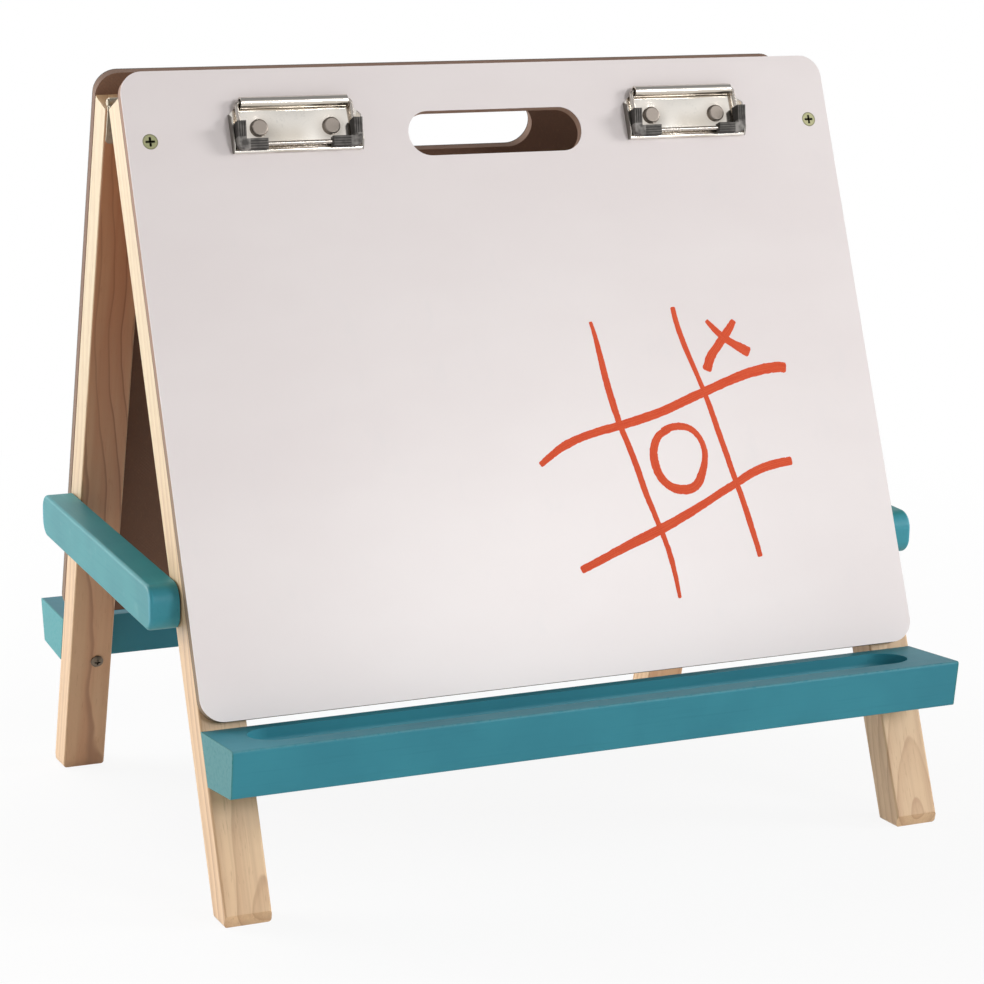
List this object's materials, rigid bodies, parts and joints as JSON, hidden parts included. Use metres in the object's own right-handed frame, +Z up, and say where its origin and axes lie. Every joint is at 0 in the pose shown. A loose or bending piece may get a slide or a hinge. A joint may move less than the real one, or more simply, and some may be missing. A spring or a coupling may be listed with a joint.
{
  "type": "tabletop easel",
  "caption": "Folding two-sided desk easel: hinged wood frames with a magnetic whiteboard and a chalkboard, pencil trays, wire paper clips and hooked side stays.",
  "frame": {"origin": "on the desk, midway between the four feet, under the hinge line", "axes": "+X along the hinge line to the right seen from the whiteboard, +Y from the whiteboard towards the chalkboard, +Z up"},
  "size_m": [0.4316, 0.3568, 0.4041],
  "materials": {
    "pine": "clear satin lacquer",
    "teal_wood": "satin paint on wood",
    "hardboard": "raw dark hardboard",
    "white_enamel": "glossy white enamel",
    "chalk_enamel": "matt black enamel",
    "beech": "raw",
    "brass": "plain",
    "nylon": "plain",
    "grey_grip": "ribbed, matt",
    "chrome": "bright plate",
    "zinc_steel": "zinc plated",
    "yellow_zinc": "yellow zinc plated"
  },
  "bodies": {
    "front_frame": {"front_backing_panel": "hardboard", "front_board_screws": "yellow_zinc", "front_hinge_screws": "zinc_steel", "front_left_hinge_leaf": "zinc_steel", "front_left_leg": "pine", "front_right_hinge_leaf": "zinc_steel", "front_right_leg": "pine", "front_tray": "teal_wood", "front_tray_dowels": "beech", "front_tray_screws": "yellow_zinc", "front_whiteboard_face": "white_enamel", "left_clip_base": "chrome", "left_clip_rivets": "chrome", "left_hinge_pin": "zinc_steel", "left_stay_washers": "nylon", "right_clip_base": "chrome", "right_clip_rivets": "chrome", "right_hinge_pin": "zinc_steel", "right_stay_washers": "nylon"},
    "rear_frame": {"left_stay_peg": "yellow_zinc", "rear_backing_panel": "hardboard", "rear_board_screws": "yellow_zinc", "rear_chalkboard_face": "chalk_enamel", "rear_hinge_screws": "zinc_steel", "rear_left_hinge_leaf": "zinc_steel", "rear_left_leg": "pine", "rear_right_hinge_leaf": "zinc_steel", "rear_right_leg": "pine", "rear_tray": "teal_wood", "rear_tray_dowels": "beech", "rear_tray_screws": "yellow_zinc", "right_stay_peg": "yellow_zinc"},
    "left_stay_arm": {"left_stay": "teal_wood", "left_stay_bolt": "yellow_zinc", "left_stay_insert": "brass"},
    "left_clip_jaw": {"left_clip_bail": "chrome", "left_clip_grips": "grey_grip"},
    "right_stay_arm": {"right_stay": "teal_wood", "right_stay_bolt": "yellow_zinc", "right_stay_insert": "brass"},
    "right_clip_jaw": {"right_clip_bail": "chrome", "right_clip_grips": "grey_grip"}
  },
  "joints": [
    {"name": "frame_fold", "type": "hinge", "parent": "front_frame", "child": "rear_frame", "pos_m": [0, 0, 0.388], "axis": [-1, 0, 0], "range_deg": [0, 39]},
    {"name": "left_stay_lift", "type": "hinge", "parent": "front_frame", "child": "left_stay_arm", "pos_m": [-0.2008, -0.09424, 0.14719], "axis": [1, 0, 0], "range_deg": [0, 66.89]},
    {"name": "right_stay_lift", "type": "hinge", "parent": "front_frame", "child": "right_stay_arm", "pos_m": [0.2008, -0.09424, 0.14719], "axis": [1, 0, 0], "range_deg": [0, 66.89]},
    {"name": "left_clip_open", "type": "hinge", "parent": "front_frame", "child": "left_clip_jaw", "pos_m": [-0.111, -0.03161, 0.38742], "axis": [-1, 0, 0], "range_deg": [0, 75], "stiffness_Nm_per_rad": 0.03, "springref_deg": -34.38},
    {"name": "right_clip_open", "type": "hinge", "parent": "front_frame", "child": "right_clip_jaw", "pos_m": [0.111, -0.03161, 0.38742], "axis": [-1, 0, 0], "range_deg": [0, 75], "stiffness_Nm_per_rad": 0.03, "springref_deg": -34.38}
  ],
  "couplings": [
    {"joint": "left_stay_lift", "follows": "frame_fold", "ratio": 1.7138},
    {"joint": "right_stay_lift", "follows": "frame_fold", "ratio": 1.7138}
  ]
}
